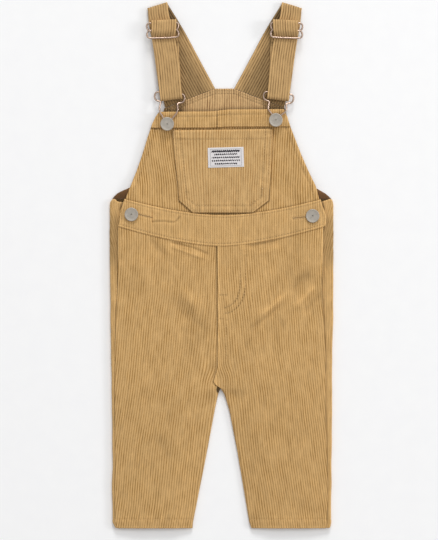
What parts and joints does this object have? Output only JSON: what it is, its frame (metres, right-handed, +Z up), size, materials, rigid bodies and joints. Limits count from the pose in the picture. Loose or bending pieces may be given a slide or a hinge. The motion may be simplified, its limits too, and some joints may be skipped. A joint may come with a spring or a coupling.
{
  "type": "bib overalls",
  "caption": "Baby's corduroy bib overalls laid flat, with a bib pocket, buttoned waist, straight legs and wire-hooked straps.",
  "frame": {"origin": "middle of the laid garment's box, on the surface that it lies on", "axes": "+X to the right of the garment as it lies front up, +Y from the hems to the straps, +Z up off the surface"},
  "size_m": [0.2294, 0.5362, 0.011],
  "materials": {
    "corduroy": "soft cotton corduroy, ribbed pile",
    "corduroy_pocket": "soft cotton corduroy, a little lighter",
    "corduroy_strap": "doubled cotton corduroy",
    "corduroy_inside": "plain woven back of the corduroy",
    "woven_label": "white woven ribbon, bare",
    "nickel_wire": "nickel plated steel wire",
    "pewter_button": "dull pewter-coloured plating"
  },
  "bodies": {
    "root": {"back_leg_left": "corduroy", "back_leg_right": "corduroy", "front_leg_left": "corduroy", "front_leg_right": "corduroy", "waistband": "corduroy", "bib": "corduroy", "bib_top_band": "corduroy", "bib_pocket": "corduroy_pocket", "label": "woven_label", "upper_back": "corduroy_inside", "strap_left": "corduroy_strap", "strap_right": "corduroy_strap", "slider_left": "nickel_wire", "slider_right": "nickel_wire", "hook_left": "nickel_wire", "hook_right": "nickel_wire", "bib_button_left": "pewter_button", "bib_button_right": "pewter_button", "side_button_left": "pewter_button", "side_button_right": "pewter_button"}
  },
  "joints": []
}
